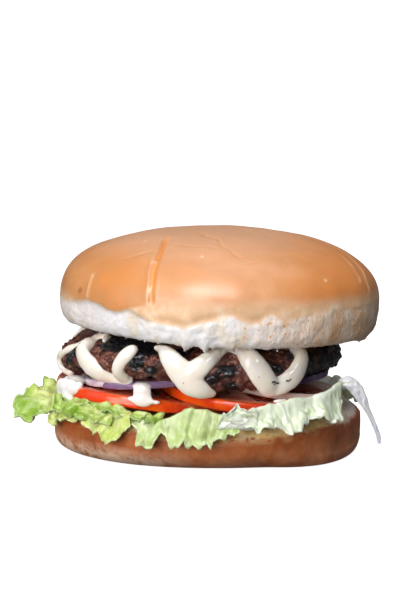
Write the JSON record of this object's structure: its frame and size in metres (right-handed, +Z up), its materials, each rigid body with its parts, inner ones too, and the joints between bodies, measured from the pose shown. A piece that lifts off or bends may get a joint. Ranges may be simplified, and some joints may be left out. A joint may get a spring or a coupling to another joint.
{
  "type": "hamburger",
  "caption": "Hamburger: a grilled beef patty with cream sauce, red onion, tomato and frilly lettuce between the halves of a soft bun.",
  "frame": {"origin": "centre of the lower bun's flat base, on the surface that the burger stands on", "axes": "+Z up; -Y towards the front; +X to the right as seen from the front"},
  "size_m": [0.1346, 0.1249, 0.0798],
  "materials": {
    "bun_crust": "glazed golden crust, soft gloss",
    "bun_base_crust": "matt brown crust",
    "grilled_beef": "charred minced beef, moist, with cream sauce",
    "tomato": "wet ripe tomato",
    "red_onion": "translucent sliced red onion",
    "lettuce": "thin crisp frilled leaf"
  },
  "bodies": {
    "root": {"bun_crown": "bun_crust", "bun_heel": "bun_base_crust", "patty": "grilled_beef", "tomato_left": "tomato", "tomato_right": "tomato", "onion_left": "red_onion", "onion_right": "red_onion", "lettuce_far_left": "lettuce", "lettuce_front_left": "lettuce", "lettuce_front": "lettuce", "lettuce_front_right": "lettuce", "lettuce_right_rib": "lettuce", "lettuce_back_right": "lettuce", "lettuce_back": "lettuce", "lettuce_back_left": "lettuce"}
  },
  "joints": []
}
